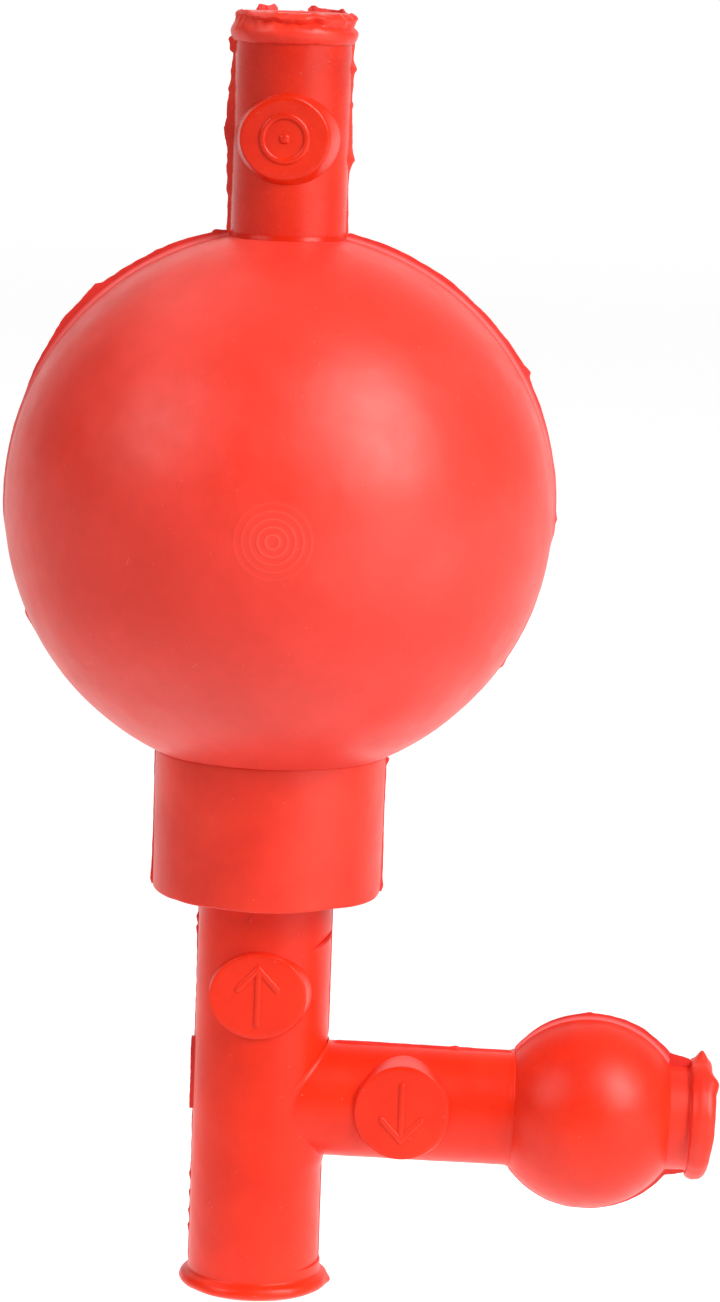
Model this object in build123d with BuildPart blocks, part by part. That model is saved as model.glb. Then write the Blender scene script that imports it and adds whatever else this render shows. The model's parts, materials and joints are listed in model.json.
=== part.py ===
"""Three-valve siphon bulb pump of moulded rubber, for filling and emptying pipettes.

A squeeze bulb with an air tube on top turns on the plug of a siphon tee, whose side arm ends in a small
blow-out bulb.  A ball sits in each tube, and pinching the tube there opens that valve.

Frame: millimetres, origin at the middle of the siphon tube's mouth, +Z up the tube, +X along the side arm,
and the marked pinch discs face -Y.  The mould's parting plane is Y = 0.
"""

import os
from dataclasses import dataclass
from math import sqrt

from build123d import *

# Squeeze bulb
BULB_R = 31.8
BULB_WALL = 2.7
BULB_Z = 93.7
BULB_WINDOW_R = 24.0

# Collar under the bulb, and the plug of the siphon tee that turns in it
COLLAR_R = 13.5
COLLAR_BOTTOM_Z = 48.2
COLLAR_ROUND = 0.6
PLUG_CLEARANCE = 0.05
PLUG_LIP_R = 9.2
PLUG_LIP_HEIGHT = 2.0
PLUG_LIP_GAP = 0.4

# Air tube on top of the bulb
AIR_R = 6.7
AIR_TOP_Z = 150.5
AIR_BEAD_R = 7.25
AIR_BEAD_HEIGHT = 3.5
AIR_VALVE_Z = 136.3
AIR_SOCKET_LENGTH = 9.0

# Siphon tube of the tee
SIPHON_R = 7.85
SIPHON_BEAD_R = 8.9
SIPHON_BEAD_HEIGHT = 2.4
SIPHON_VALVE_Z = 37.0
SIPHON_SOCKET_LENGTH = 17.0
TAB_DEPTH = 0.6
TAB_THICKNESS = 0.8
TAB_BOTTOM_Z = 22.4
TAB_TOP_Z = 30.9

# Side arm of the tee, which droops a little
ARM_R = 6.8
ARM_Z = 23.4
ARM_DROOP = 1.2
EMPTY_VALVE_X = 16.9

# Blow-out bulb on the side arm, and its end nozzle
SIDE_BULB_R = 11.3
SIDE_BULB_WALL = 2.0
SIDE_BULB_X = 38.85
SIDE_WINDOW_R = 7.5
NOZZLE_NECK_R = 6.15
NOZZLE_ROOT_X = 46.0
NOZZLE_FLANGE_R = 7.3
NOZZLE_FLANGE_X = 50.7
NOZZLE_END_X = 53.6
NOZZLE_ROUND = 0.9

# Passages and valve balls
SOCKET_R = 3.0
DUCT_R = 2.5
BALL_R = 3.5
BALL_GRIP = 0.1

# Pinch pads: the raised discs over each valve ball, front and back
PAD_ACROSS = 6.0
PAD_ALONG = 5.2
EMPTY_PAD_ALONG = 5.7
PAD_PROUD = 0.5
PAD_WALL = 1.0
PAD_EDGE = 0.4
PINCH_TRAVEL = 1.0
MARK_HEIGHT = 0.25
MARK_WIDTH = 0.7
MARK_SIZE = 3.2

# Gap between pieces that slide past each other
SLIDE_GAP = 0.25

FRONT = -1
BACK = 1
SIDES = {"front": FRONT, "back": BACK}

bulb_centre = Vector(0, 0, BULB_Z)
bulb_inner_r = BULB_R - BULB_WALL
plug_bore_r = SIPHON_R + PLUG_CLEARANCE
plug_lip_z = BULB_Z - sqrt(bulb_inner_r**2 - PLUG_LIP_R**2) + PLUG_LIP_GAP
plug_top_z = plug_lip_z + PLUG_LIP_HEIGHT

upward = Vector(0, 0, 1)
rightward = Vector(1, 0, 0)
arm_axis = rightward.rotate(Axis.Y, ARM_DROOP)
arm_plane = Plane(origin=(0, 0, ARM_Z), x_dir=(0, 1, 0), z_dir=arm_axis)
side_bulb_centre = arm_plane.offset(SIDE_BULB_X).origin


@dataclass
class Valve:
    """A ball in a tube, with a pinch pad in front of it and one behind it."""

    centre: Vector
    axis: Vector
    right: Vector
    tube_r: float
    pad_width: float
    pad_height: float


air_valve = Valve(Vector(0, 0, AIR_VALVE_Z), upward, rightward, AIR_R, PAD_ACROSS, PAD_ALONG)
siphon_valve = Valve(Vector(0, 0, SIPHON_VALVE_Z), upward, rightward, SIPHON_R, PAD_ACROSS, PAD_ALONG)
empty_valve = Valve(
    arm_plane.offset(EMPTY_VALVE_X).origin, arm_axis, arm_axis, ARM_R, EMPTY_PAD_ALONG, PAD_ACROSS
)
valves = {"air": air_valve, "siphon": siphon_valve, "empty": empty_valve}


def facing(centre, side, distance=0.0, right=rightward):
    """Plane that faces the front or the back, at a distance from a centre on the parting plane."""
    return Plane(origin=centre + Vector(0, side * distance, 0), x_dir=right * -side, z_dir=(0, side, 0))


def rim_bead(bottom_z, root_r, bead_r, height):
    """Profile of a bead that runs round a tube, rounded where it stands proud."""
    inset = height / 4
    with BuildLine() as outline:
        Line((root_r - 1, bottom_z), (bead_r - inset, bottom_z))
        ThreePointArc(
            (bead_r - inset, bottom_z), (bead_r, bottom_z + height / 2), (bead_r - inset, bottom_z + height)
        )
        Polyline(
            (bead_r - inset, bottom_z + height), (root_r - 1, bottom_z + height), (root_r - 1, bottom_z)
        )
    make_face(outline.edges())


def inside_wall(valve, side, depth):
    """Cylinder that a wall of the given depth leaves under a tube's front or back."""
    with BuildPart() as core:
        centre = valve.centre - Vector(0, side * depth, 0)
        with BuildSketch(Plane(origin=centre, z_dir=valve.axis)):
            Circle(valve.tube_r)
        extrude(amount=2 * PAD_ACROSS, both=True)
    return core.part


def pad_room(valve, side):
    """Room for a pinch pad in its tube, down to a floor under the pad's travel."""
    floor = inside_wall(valve, side, PAD_WALL + PINCH_TRAVEL + SLIDE_GAP)
    with BuildPart() as room:
        with BuildSketch(facing(valve.centre, side, right=valve.right)):
            Ellipse(valve.pad_width + SLIDE_GAP, valve.pad_height + SLIDE_GAP)
        extrude(amount=valve.tube_r + PAD_PROUD)
        add(floor, mode=Mode.SUBTRACT)
    return room.part


def rooms(valve):
    """Both pad rooms of one valve."""
    return [pad_room(valve, side) for side in SIDES.values()]


def ball_seat(valve):
    """The space that a tube's rubber leaves for its ball before it is stretched over it."""
    with Locations(valve.centre):
        Sphere(BALL_R - BALL_GRIP, mode=Mode.SUBTRACT)


def air_mark():
    """Ring with a dot, for the valve that lets air out."""
    Circle(MARK_SIZE - 0.4)
    Circle(MARK_SIZE - 0.4 - MARK_WIDTH, mode=Mode.SUBTRACT)
    Circle(MARK_WIDTH)


def arrow_mark(tip):
    """Arrow with an open head, up where tip is positive and down where it is negative."""
    barb = tip * 2 / 3
    with BuildLine() as shaft:
        Line((0, -tip), (0, tip))
    with BuildLine() as head:
        Polyline((-abs(barb), tip - barb), (0, tip), (abs(barb), tip - barb))
    trace(shaft.line, line_width=MARK_WIDTH)
    trace(head.line, line_width=MARK_WIDTH)


marks = {
    "air": air_mark,
    "siphon": lambda: arrow_mark(MARK_SIZE),
    "empty": lambda: arrow_mark(-MARK_SIZE),
}

# ---------------------------------------------------------------- siphon tee

with BuildPart() as siphon_tube:
    with BuildSketch(Plane.XY):
        Circle(SIPHON_R)
    extrude(amount=plug_top_z)
    with BuildSketch(Plane.XZ):
        rim_bead(0, SIPHON_R, SIPHON_BEAD_R, SIPHON_BEAD_HEIGHT)
        rim_bead(plug_lip_z, SIPHON_R, PLUG_LIP_R, PLUG_LIP_HEIGHT)
    revolve(axis=Axis.Z)
    with BuildSketch(Plane.XY.offset(TAB_BOTTOM_Z)):
        with Locations((-SIPHON_R, 0)):
            Rectangle(2 * TAB_DEPTH, TAB_THICKNESS)
    extrude(amount=TAB_TOP_Z - TAB_BOTTOM_Z)
    with BuildSketch(Plane.XY):
        Circle(DUCT_R)
    extrude(amount=plug_top_z, mode=Mode.SUBTRACT)
    with BuildSketch(Plane.XY):
        Circle(SOCKET_R)
    extrude(amount=SIPHON_SOCKET_LENGTH, mode=Mode.SUBTRACT)
    with BuildSketch(arm_plane):
        Circle(DUCT_R)
    extrude(amount=SIPHON_R + 1, mode=Mode.SUBTRACT)
    ball_seat(siphon_valve)
    add(rooms(siphon_valve), mode=Mode.SUBTRACT)
siphon_tube.part.label = "siphon_tube"
export_parts = [siphon_tube.part]

with BuildPart() as side_arm:
    with BuildSketch(arm_plane):
        Circle(ARM_R)
    extrude(amount=SIDE_BULB_X)
    with BuildSketch(arm_plane):
        Circle(DUCT_R)
    extrude(amount=SIDE_BULB_X, mode=Mode.SUBTRACT)
    with BuildSketch(Plane.XY):
        Circle(SIPHON_R)
    extrude(amount=plug_top_z, mode=Mode.SUBTRACT)
    with Locations(side_bulb_centre):
        Sphere(SIDE_BULB_R, mode=Mode.SUBTRACT)
    ball_seat(empty_valve)
    add(rooms(empty_valve), mode=Mode.SUBTRACT)
side_arm.part.label = "side_arm"
export_parts.append(side_arm.part)

with BuildPart() as side_bulb:
    with Locations(side_bulb_centre):
        Sphere(SIDE_BULB_R)
        Sphere(SIDE_BULB_R - SIDE_BULB_WALL, mode=Mode.SUBTRACT)
    with BuildSketch(facing(side_bulb_centre, BACK)):
        Circle(SIDE_WINDOW_R + SLIDE_GAP)
    extrude(amount=SIDE_BULB_R + 1, both=True, mode=Mode.SUBTRACT)
    with BuildSketch(arm_plane):
        Circle(DUCT_R)
    extrude(amount=SIDE_BULB_X, mode=Mode.SUBTRACT)
    with BuildSketch(arm_plane.offset(SIDE_BULB_X)):
        Circle(SOCKET_R)
    extrude(amount=SIDE_BULB_R + 1, mode=Mode.SUBTRACT)
side_bulb.part.label = "side_bulb"
export_parts.append(side_bulb.part)

with BuildPart() as end_nozzle:
    with BuildSketch(arm_plane.offset(NOZZLE_ROOT_X)):
        Circle(NOZZLE_NECK_R)
        Circle(SOCKET_R, mode=Mode.SUBTRACT)
    extrude(amount=NOZZLE_END_X - NOZZLE_ROOT_X)
    with BuildSketch(arm_plane.offset(NOZZLE_FLANGE_X)):
        Circle(NOZZLE_FLANGE_R)
        Circle(SOCKET_R, mode=Mode.SUBTRACT)
    extrude(amount=NOZZLE_END_X - NOZZLE_FLANGE_X)
    fillet(end_nozzle.edges().filter_by(GeomType.CIRCLE).sort_by(SortBy.RADIUS)[-2:], radius=NOZZLE_ROUND)
    with Locations(side_bulb_centre):
        Sphere(SIDE_BULB_R, mode=Mode.SUBTRACT)
end_nozzle.part.label = "end_nozzle"
export_parts.append(end_nozzle.part)

# ---------------------------------------------------------------- squeeze bulb

with BuildPart() as bulb_shell:
    with Locations(bulb_centre):
        Sphere(BULB_R)
        Sphere(bulb_inner_r, mode=Mode.SUBTRACT)
    with BuildSketch(facing(bulb_centre, BACK)):
        Circle(BULB_WINDOW_R + SLIDE_GAP)
    extrude(amount=BULB_R + 1, both=True, mode=Mode.SUBTRACT)
    with BuildSketch(Plane.XY.offset(COLLAR_BOTTOM_Z)):
        Circle(plug_bore_r)
    extrude(amount=BULB_Z - COLLAR_BOTTOM_Z, mode=Mode.SUBTRACT)
    with BuildSketch(Plane.XY.offset(BULB_Z)):
        Circle(DUCT_R)
    extrude(amount=BULB_R + 1, mode=Mode.SUBTRACT)
bulb_shell.part.label = "bulb_shell"
export_parts.append(bulb_shell.part)

with BuildPart() as collar:
    with BuildSketch(Plane.XY.offset(COLLAR_BOTTOM_Z)):
        Circle(COLLAR_R)
        Circle(plug_bore_r, mode=Mode.SUBTRACT)
    extrude(amount=BULB_Z - COLLAR_BOTTOM_Z)
    fillet(collar.edges().group_by(Axis.Z)[0].sort_by(SortBy.RADIUS)[-1], radius=COLLAR_ROUND)
    with Locations(bulb_centre):
        Sphere(BULB_R, mode=Mode.SUBTRACT)
collar.part.label = "collar"
export_parts.append(collar.part)

with BuildPart() as air_tube:
    with BuildSketch(Plane.XY.offset(BULB_Z)):
        Circle(AIR_R)
    extrude(amount=AIR_TOP_Z - BULB_Z)
    with BuildSketch(Plane.XZ):
        rim_bead(AIR_TOP_Z - AIR_BEAD_HEIGHT, AIR_R, AIR_BEAD_R, AIR_BEAD_HEIGHT)
    revolve(axis=Axis.Z)
    with BuildSketch(Plane.XY.offset(BULB_Z)):
        Circle(DUCT_R)
    extrude(amount=AIR_TOP_Z - BULB_Z, mode=Mode.SUBTRACT)
    with BuildSketch(Plane.XY.offset(AIR_TOP_Z)):
        Circle(SOCKET_R)
    extrude(amount=-AIR_SOCKET_LENGTH, mode=Mode.SUBTRACT)
    with Locations(bulb_centre):
        Sphere(BULB_R, mode=Mode.SUBTRACT)
    ball_seat(air_valve)
    add(rooms(air_valve), mode=Mode.SUBTRACT)
air_tube.part.label = "air_tube"
export_parts.append(air_tube.part)

# ---------------------------------------------------------------- squeezed walls, pinched pads and balls


def squeeze_wall(label, centre, outer_r, wall, window_r, side):
    """The middle of a bulb's front or back, which a finger pushes in."""
    with BuildPart() as dish:
        with Locations(centre):
            Sphere(outer_r)
            Sphere(outer_r - wall, mode=Mode.SUBTRACT)
        with BuildSketch(facing(centre, side)):
            Circle(window_r)
        extrude(amount=outer_r + 1, mode=Mode.INTERSECT)
    dish.part.label = label
    return dish.part


def pinch_pad(label, valve, side, mark):
    """Raised disc and the tube wall under it, which slide in over the valve ball when they are pinched."""
    core = inside_wall(valve, side, PAD_WALL)
    face_distance = valve.tube_r + PAD_PROUD
    with BuildPart() as pad:
        with BuildSketch(facing(valve.centre, side, right=valve.right)):
            Ellipse(valve.pad_width, valve.pad_height)
        extrude(amount=face_distance)
        outer_face = pad.faces().filter_by(Axis.Y).sort_by(Axis.Y)[0 if side == FRONT else -1]
        chamfer(outer_face.edges(), length=PAD_EDGE)
        add(core, mode=Mode.SUBTRACT)
        if side == FRONT:
            with BuildSketch(facing(valve.centre, side, face_distance, valve.right)):
                mark()
            extrude(amount=MARK_HEIGHT)
    pad.part.label = label
    return pad.part


def valve_ball(label, valve):
    """Ball that the rubber grips all round until its pads are pinched."""
    with BuildPart() as ball:
        with Locations(valve.centre):
            Sphere(BALL_R)
    ball.part.label = label
    return ball.part


for side_name, side in SIDES.items():
    export_parts.append(
        squeeze_wall(f"bulb_{side_name}_wall", bulb_centre, BULB_R, BULB_WALL, BULB_WINDOW_R, side)
    )
    export_parts.append(
        squeeze_wall(
            f"side_bulb_{side_name}_wall", side_bulb_centre, SIDE_BULB_R, SIDE_BULB_WALL, SIDE_WINDOW_R, side
        )
    )
    for valve_name, valve in valves.items():
        export_parts.append(pinch_pad(f"{valve_name}_{side_name}_pad", valve, side, marks[valve_name]))

for valve_name, valve in valves.items():
    export_parts.append(valve_ball(f"{valve_name}_ball", valve))

# ---------------------------------------------------------------- export

os.makedirs("parts", exist_ok=True)
for piece in export_parts:
    export_step(piece, f"parts/{piece.label}.step")
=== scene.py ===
"""Looks of the three-valve siphon bulb pump: moulded red rubber with its parting flash, in metres.

Most pieces ride on a CAD body; the bulb halves, the bulb marks and the tube skins stay where they are built.
"""

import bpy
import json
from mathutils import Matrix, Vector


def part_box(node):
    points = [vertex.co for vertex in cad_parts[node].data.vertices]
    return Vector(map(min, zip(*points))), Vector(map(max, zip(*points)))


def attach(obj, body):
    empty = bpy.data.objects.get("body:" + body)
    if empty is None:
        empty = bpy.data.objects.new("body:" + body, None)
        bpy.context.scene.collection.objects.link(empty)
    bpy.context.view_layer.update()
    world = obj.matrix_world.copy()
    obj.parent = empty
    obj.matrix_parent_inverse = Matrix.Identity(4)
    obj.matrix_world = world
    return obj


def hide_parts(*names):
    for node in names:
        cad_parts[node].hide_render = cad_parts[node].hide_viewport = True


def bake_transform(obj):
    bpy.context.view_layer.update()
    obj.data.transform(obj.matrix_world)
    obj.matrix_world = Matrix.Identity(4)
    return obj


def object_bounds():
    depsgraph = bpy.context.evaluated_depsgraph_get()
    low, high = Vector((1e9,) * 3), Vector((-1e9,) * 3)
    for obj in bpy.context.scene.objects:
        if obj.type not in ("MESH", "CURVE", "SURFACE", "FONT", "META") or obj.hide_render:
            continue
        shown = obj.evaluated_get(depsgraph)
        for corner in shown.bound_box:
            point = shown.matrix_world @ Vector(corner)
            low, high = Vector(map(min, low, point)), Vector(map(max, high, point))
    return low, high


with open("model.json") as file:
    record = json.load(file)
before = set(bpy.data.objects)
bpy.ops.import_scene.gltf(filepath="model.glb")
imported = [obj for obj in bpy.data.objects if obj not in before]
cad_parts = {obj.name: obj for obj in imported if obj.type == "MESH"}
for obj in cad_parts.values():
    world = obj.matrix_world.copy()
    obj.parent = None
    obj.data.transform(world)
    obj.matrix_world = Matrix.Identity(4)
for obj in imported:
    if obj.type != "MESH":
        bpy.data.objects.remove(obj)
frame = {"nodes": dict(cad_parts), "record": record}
cad_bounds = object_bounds()

import copy
import json
import math
from math import cos, pi, radians, sin, sqrt

import bmesh
import bpy
from mathutils import Quaternion, Vector, noise

MM = 0.001
UP = Vector((0, 0, 1))
BACK = Vector((0, 1, 0))
FACINGS = {"front": -1, "back": 1}

# ---- sizes that the CAD boxes don't give

PAD_PROUD = 0.5 * MM
SIPHON_BEAD_R = 8.9 * MM
SIPHON_BEAD_HEIGHT = 2.1 * MM
AIR_BEAD_HEIGHT = 3.5 * MM
BORE_R = 3.0 * MM
DUCT_R = 2.5 * MM
AIR_SOCKET_LENGTH = 9.0 * MM
SIPHON_SOCKET_LENGTH = 17.0 * MM
NECK_R = 6.15 * MM
FLANGE_LENGTH = 2.9 * MM
FLANGE_R = 7.3 * MM
PLUG_R = 7.9 * MM
BULB_WALL = 2.7 * MM
SIDE_BULB_WALL = 2.0 * MM

# Thin rubber round a valve ball: its room in front and behind, and its thickness at the parting line
PINCH_ROOM = 1.1 * MM
SEAM_WALL = 0.3 * MM
CORE_WALL = 1.4 * MM
CORE_TIP_WALL = 0.95 * MM
PAD_REACH = 5.2 * MM
PAD_FADE = 6.0 * MM

# ---- places and sizes, from the frame


def centre_of(node):
    """Middle of a CAD node's box."""
    low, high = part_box(node)
    return (low + high) / 2


class Tube:
    """A straight tube with a valve; its back pad stands proud of it."""

    def __init__(self, origin, axis, home, valve):
        self.origin = Vector(origin)
        self.axis = Vector(axis).normalized()
        self.side = BACK.cross(self.axis)
        self.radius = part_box(f"{valve}_back_pad")[1].y - PAD_PROUD
        self.home = home
        self.valve = valve
        self.valve_along = self.along(centre_of(f"{valve}_ball"))

    def spot(self, along, sideways, backwards):
        """A point from its distances along, sideways and backwards."""
        return self.origin + self.axis * along + self.side * sideways + BACK * backwards

    def at(self, along, radius, angle):
        """A point from its radius and its angle, from the side towards the back."""
        return self.spot(along, radius * cos(angle), radius * sin(angle))

    def along(self, point):
        """How far along the tube a point lies."""
        return (point - self.origin).dot(self.axis)

def hollow(wall):
    """Centre and radius of a hollow bulb, from its front wall's box, which ends at the parting plane."""
    centre = centre_of(wall)
    return Vector((centre.x, 0, centre.z)), -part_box(wall)[0].y


outlet = next(m for m in frame["record"]["mounts"] if m["name"] == "blow_out_outlet")
outlet_end = Vector(outlet["pos_m"])
arm_axis = Vector(outlet["axis"])
arm_root = outlet_end - arm_axis * (outlet_end.x / arm_axis.x)

air = Tube((0, 0, 0), UP, "bulb", "air")
siphon = Tube((0, 0, 0), UP, "tee", "siphon")
arm = Tube(arm_root, arm_axis, "tee", "empty")

bulb_centre, bulb_r = hollow("bulb_front_wall")
side_centre, side_r = hollow("side_bulb_front_wall")
side_along = arm.along(side_centre)
outlet_along = arm.along(outlet_end)

air_bead_r, _, air_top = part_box("air_tube")[1]
air_foot = bulb_centre.z + sqrt(bulb_r**2 - air.radius**2)
collar_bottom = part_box("collar")[0].z
collar_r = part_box("collar")[1].x
collar_head = bulb_centre.z - sqrt(bulb_r**2 - collar_r**2)
plug_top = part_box("siphon_tube")[1].z
arm_foot = sqrt(siphon.radius**2 - arm.radius**2)
arm_head = side_along - sqrt(side_r**2 - arm.radius**2)
neck_foot = side_along + sqrt(side_r**2 - NECK_R**2)
ball_r = -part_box("air_ball")[0].y

# ---- mesh helpers


def wobble(point, size, seed):
    """Smooth noise, mostly from -1 to 1, with bumps of so many mm."""
    return noise.fractal(Vector(point) / (size * MM) + Vector((seed, 2.3 * seed, -seed)), 1.0, 2.0, 3)


def smoothstep(low, high, value):
    """Rises from 0 to 1 between low and high."""
    t = min(1.0, max(0.0, (value - low) / (high - low)))
    return t * t * (3 - 2 * t)


def bump(value, centre, width):
    """A round hump of height 1."""
    return math.exp(-(((value - centre) / width) ** 2))


def through(stops):
    """A smooth function through the values of a dictionary's places."""
    stops = list(stops.items())

    def value(place):
        for (before, low), (after, high) in zip(stops, stops[1:]):
            if place <= after:
                return low + (high - low) * smoothstep(before, after, place)
        return stops[-1][1]

    return value


def towards(azimuth, elevation):
    """Direction from the object, azimuth 0 in front of it and positive to its right, in degrees."""
    a, e = radians(azimuth), radians(elevation)
    return Vector((sin(a) * cos(e), -cos(a) * cos(e), sin(e)))


def steps(first, last, size):
    """Evenly spaced values from first to last, about size apart."""
    count = max(1, round(abs(last - first) / size))
    return [first + (last - first) * i / count for i in range(count + 1)]


def turns(count):
    """Evenly spaced angles all the way round."""
    return [2 * pi * k / count for k in range(count)]


def bend(start, corner, end, count):
    """Points of a bend round a corner."""
    stops = [k / count for k in range(count + 1)]
    return [start * (1 - t) ** 2 + corner * 2 * t * (1 - t) + end * t**2 for t in stops]


def joined(rings):
    """The points of several rings as one list."""
    return [p for ring in rings for p in ring]


def quads(rows, columns, wrap_rows, wrap_columns, first=0):
    """Faces over a grid of vertices, stored row by row."""
    found = []
    for i in range(rows if wrap_rows else rows - 1):
        for j in range(columns if wrap_columns else columns - 1):
            a = first + i * columns
            b = first + (i + 1) % rows * columns
            k = (j + 1) % columns
            found.append([a + j, a + k, b + k, b + j])
    return found


def swept(rings, closed=False):
    """Solid swept through rings of points, capped at its ends unless it is closed."""
    rows, columns = len(rings), len(rings[0])
    faces = quads(rows, columns, closed, True)
    if not closed:
        faces += [list(range(columns)), list(range((rows - 1) * columns, rows * columns))]
    return joined(rings), faces


def merged(solids):
    """Several solids as one."""
    points, faces = [], []
    for more_points, more_faces in solids:
        faces += [[len(points) + i for i in face] for face in more_faces]
        points += more_points
    return points, faces


def thread(path, thick):
    """Thin scrap of rubber along a path of points, pointed at both ends."""
    rings = []
    for i, here in enumerate(path):
        before, after = path[max(i - 1, 0)], path[min(i + 1, len(path) - 1)]
        way = (after - before).normalized()
        across = way.cross(BACK).normalized()
        deep = way.cross(across)
        swell = sin(pi * (i + 0.3) / (len(path) - 0.4))
        rings.append([here + (across * cos(a) + deep * sin(a)) * thick * swell for a in turns(8)])
    return swept(rings)


def placed(name, data):
    """New object in the scene."""
    item = bpy.data.objects.new(name, data)
    bpy.context.scene.collection.objects.link(item)
    return item


def make_piece(name, solid, material, sharp=40):
    """Welded object from points and faces, with its sharp edges kept."""
    points, faces = solid
    mesh = bpy.data.meshes.new(name)
    mesh.from_pydata(points, [], faces)
    welded = bmesh.new()
    welded.from_mesh(mesh)
    bmesh.ops.remove_doubles(welded, verts=welded.verts, dist=0.0005 * MM)
    bmesh.ops.recalc_face_normals(welded, faces=welded.faces)
    welded.to_mesh(mesh)
    welded.free()
    mesh.shade_smooth()
    mesh.set_sharp_from_angle(angle=radians(sharp))
    mesh.materials.append(material)
    piece = placed(name, mesh)
    return piece


def rider(body, name, solid, material, *replaced, sharp=40):
    """Piece that rides on a body, in place of the CAD nodes that are named."""
    piece = make_piece(name, solid, material, sharp)
    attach(piece, body)
    if replaced:
        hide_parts(*replaced)


def shell(outer, inner):
    """Closed solid between two grids of points."""
    rows, columns = len(outer), len(outer[0])
    count = rows * columns
    faces = quads(rows, columns, False, False) + quads(rows, columns, False, False, count)
    border = list(range(columns))
    border += [i * columns + columns - 1 for i in range(1, rows)]
    border += [(rows - 1) * columns + j for j in range(columns - 2, -1, -1)]
    border += [i * columns for i in range(rows - 2, 0, -1)]
    for a, b in zip(border, border[1:] + border[:1]):
        faces.append([a, b, b + count, a + count])
    return joined(outer) + joined(inner), faces


def rounded(corners, radius, step):
    """A closed profile with rounded corners, in short steps."""
    path = []
    count = len(corners)
    for i in range(count):
        before, here, after = (Vector(corners[k % count]) for k in (i - 1, i, i + 1))
        cut = min(radius, (before - here).length * 0.45, (after - here).length * 0.45)
        start = here + (before - here).normalized() * cut
        path += bend(start, here, here + (after - here).normalized() * cut, 4)
    fine = []
    for here, after in zip(path, path[1:] + path[:1]):
        pieces = max(1, math.ceil((after - here).length / step))
        fine += [here.lerp(after, k / pieces) for k in range(pieces)]
    return [(p.x, p.y) for p in fine]


def turned(tube, relief, corners, radius, step, sides):
    """Ring turned from a rounded profile of (along, radius) corners, whose points the relief moves."""
    rings = []
    for spot in rounded(corners, radius * MM, step * MM):
        rings.append([tube.at(*relief(*spot, angle), angle) for angle in turns(sides)])
    return swept(rings, closed=True)


def primitive(name, create, **sizes):
    """New mesh of a simple form."""
    mesh = bpy.data.meshes.new(name)
    form = bmesh.new()
    create(form, cap_ends=True, **sizes)
    form.to_mesh(mesh)
    form.free()
    return mesh


def bored(piece, bores):
    """Cuts round holes, each given by two points and a radius, through a piece."""
    for start, end, radius in bores:
        sizes = {"radius1": radius, "radius2": radius, "depth": (end - start).length}
        cutter_mesh = primitive("cutter", bmesh.ops.create_cone, segments=64, **sizes)
        cutter = placed("cutter", cutter_mesh)
        cutter.rotation_mode = "QUATERNION"
        cutter.rotation_quaternion = (end - start).to_track_quat("Z", "Y")
        cutter.location = (start + end) / 2
        cut = piece.modifiers.new("bore", "BOOLEAN")
        cut.operation = "DIFFERENCE"
        cut.solver = "EXACT"
        cut.object = cutter
        bpy.context.view_layer.update()
        graph = bpy.context.evaluated_depsgraph_get()
        result = bpy.data.meshes.new_from_object(piece.evaluated_get(graph), depsgraph=graph)
        piece.modifiers.clear()
        old = piece.data
        piece.data = result
        bpy.data.meshes.remove(old)
        bpy.data.objects.remove(cutter)
        bpy.data.meshes.remove(cutter_mesh)
    return piece


# ---- materials

FLOOR_DARK, FLOOR_PALE = (0.42, 0.42, 0.42), (0.45, 0.45, 0.45)
# Painted pool of light on the floor under the key light: its azimuth and its brightness.
POOL_AZIMUTH = 54
POOL_BRIGHT = 1.6


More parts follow.
